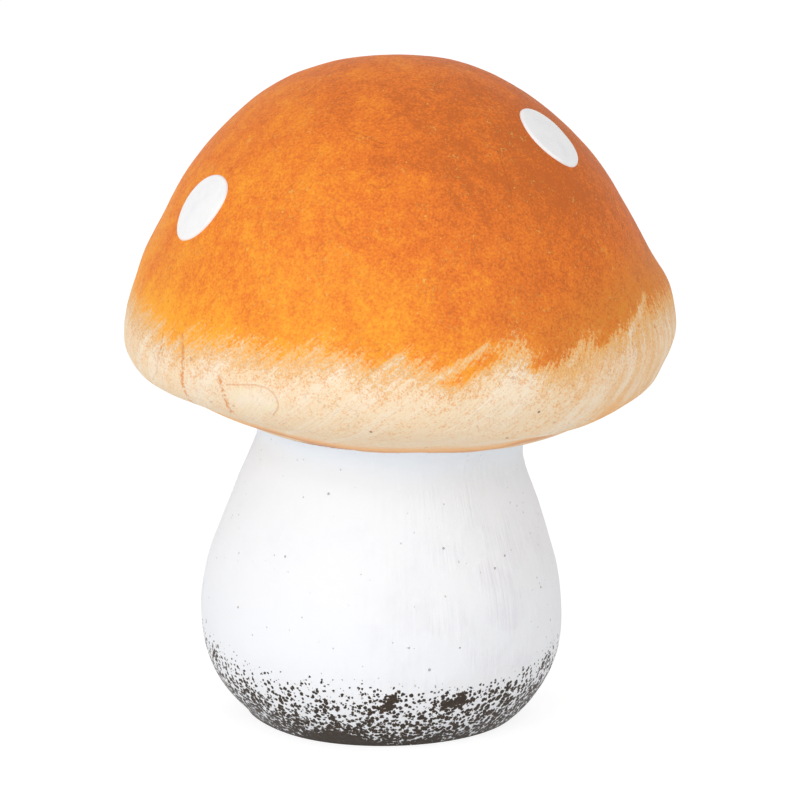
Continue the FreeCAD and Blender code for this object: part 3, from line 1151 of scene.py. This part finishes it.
def spot_material():
    """Glossy white enamel, faintly clouded and wavy."""
    paint = new_paint("spot_enamel")
    place = paint.place()
    cloud = paint.noise(place, size=3.0)
    colour = paint.blend(paint.step(cloud, 0.42, 0.7), ENAMEL, ENAMEL_SHADE)
    waves = paint.noise(place, size=1.8, detail=2.0)
    bumps = paint.dots(place, spacing=1.6, radius=0.12, share=0.25)
    height = paint.total(paint.times(waves, 0.09), (bumps, 0.03))
    rough = paint.total(0.2, (cloud, 0.12))
    return paint.finish(Base_Color=colour, Roughness=rough, Normal=paint.bump(height))


def make_spots():
    material = spot_material()
    for index, (side, place) in enumerate(SPOT_PLACES.items()):
        grid, top = spot_points(*place, seed=index)
        under = grid[-1].mean(axis=0)
        faces = grid_faces(len(grid), SPOT_COLUMNS, True, True)
        make_piece("spot_" + side + "_enamel", flat(grid, top, under), faces, material,
                   ["spot_" + side], sharp=60)


# The studio

FLOOR_SIZE = 3.0
FLOOR_GAP = 0.0001
AMBIENT = 0.62
WHITE_LIGHT = (1, 1, 1, 1)
PAPER = (0.9, 0.9, 0.9, 1)
# What the camera sees of the floor: a glow that is nearly white, and a share that takes shade
PAPER_SEEN = (0.3, 0.3, 0.3, 1)
PAPER_GLOW = 0.84
# Name, place, target and size in metres, and power in watts
LAMPS = (("key", (-0.72, -0.83, 0.5), (0, 0, 0.06), (0.8, 0.8), 5.1),
         ("fill", (0.7, -0.9, 0.6), (0, 0, 0.05), (0.9, 0.6), 2.6))


def make_floor():
    """A plain pale floor. It shows white to the camera and keeps the mushroom's shadow."""
    mesh = bpy.data.meshes.new("floor")
    corners = [(x * FLOOR_SIZE / 2, y * FLOOR_SIZE / 2, -FLOOR_GAP)
               for x, y in ((-1, -1), (1, -1), (1, 1), (-1, 1))]
    mesh.from_pydata(corners, [], [(0, 1, 2, 3)])
    paint = new_paint("floor_paper")
    diffuse = paint.node("BsdfDiffuse", {"Color": PAPER}).outputs[0]
    shaded = paint.node("BsdfDiffuse", {"Color": PAPER_SEEN}).outputs[0]
    glow = paint.node("Emission", {"Color": WHITE_LIGHT, "Strength": PAPER_GLOW}).outputs[0]
    seen_floor = paint.node("AddShader", {0: shaded, 1: glow}).outputs[0]
    mixed = paint.node("MixShader", {0: straight_rays(paint), 1: diffuse, 2: seen_floor}).outputs[0]
    paint.node("OutputMaterial", {"Surface": mixed})
    mesh.materials.append(paint.owner)
    floor = add_object("floor", mesh)


def straight_rays(paint):
    """1 for rays from the camera, off gloss and through glass, 0 for the rest."""
    rays = paint.node("LightPath").outputs
    glossy = paint.math("MAXIMUM", rays["Is Camera Ray"], rays["Is Glossy Ray"])
    return paint.math("MAXIMUM", glossy, rays["Is Transmission Ray"])


def make_world():
    """Soft light from all round, behind which the camera sees plain white."""
    paint = Paint(bpy.data.worlds.new("studio"))
    bpy.context.scene.world = paint.owner
    soft = paint.node("Background", {"Color": WHITE_LIGHT, "Strength": AMBIENT}).outputs[0]
    white = paint.node("Background", {"Color": WHITE_LIGHT, "Strength": 1.0}).outputs[0]
    mixed = paint.node("MixShader", {0: straight_rays(paint), 1: soft, 2: white}).outputs[0]
    paint.node("OutputWorld", {"Surface": mixed})


def make_lamp(name, place, target, size, power):
    data = bpy.data.lights.new(name, "AREA")
    data.shape = "RECTANGLE"
    data.size, data.size_y = size
    data.energy = power
    lamp = add_object(name, data)
    lamp.location = place
    aim = Vector(target) - Vector(place)
    lamp.rotation_euler = aim.to_track_quat("-Z", "Y").to_euler()


def make_studio():
    make_world()
    make_floor()
    for lamp in LAMPS:
        make_lamp(*lamp)


make_camera()
make_studio()
make_stem()
make_cap()
make_luting_slip()
make_spots()

bpy.context.scene.view_settings.view_transform = "Standard"

bpy.context.view_layer.update()
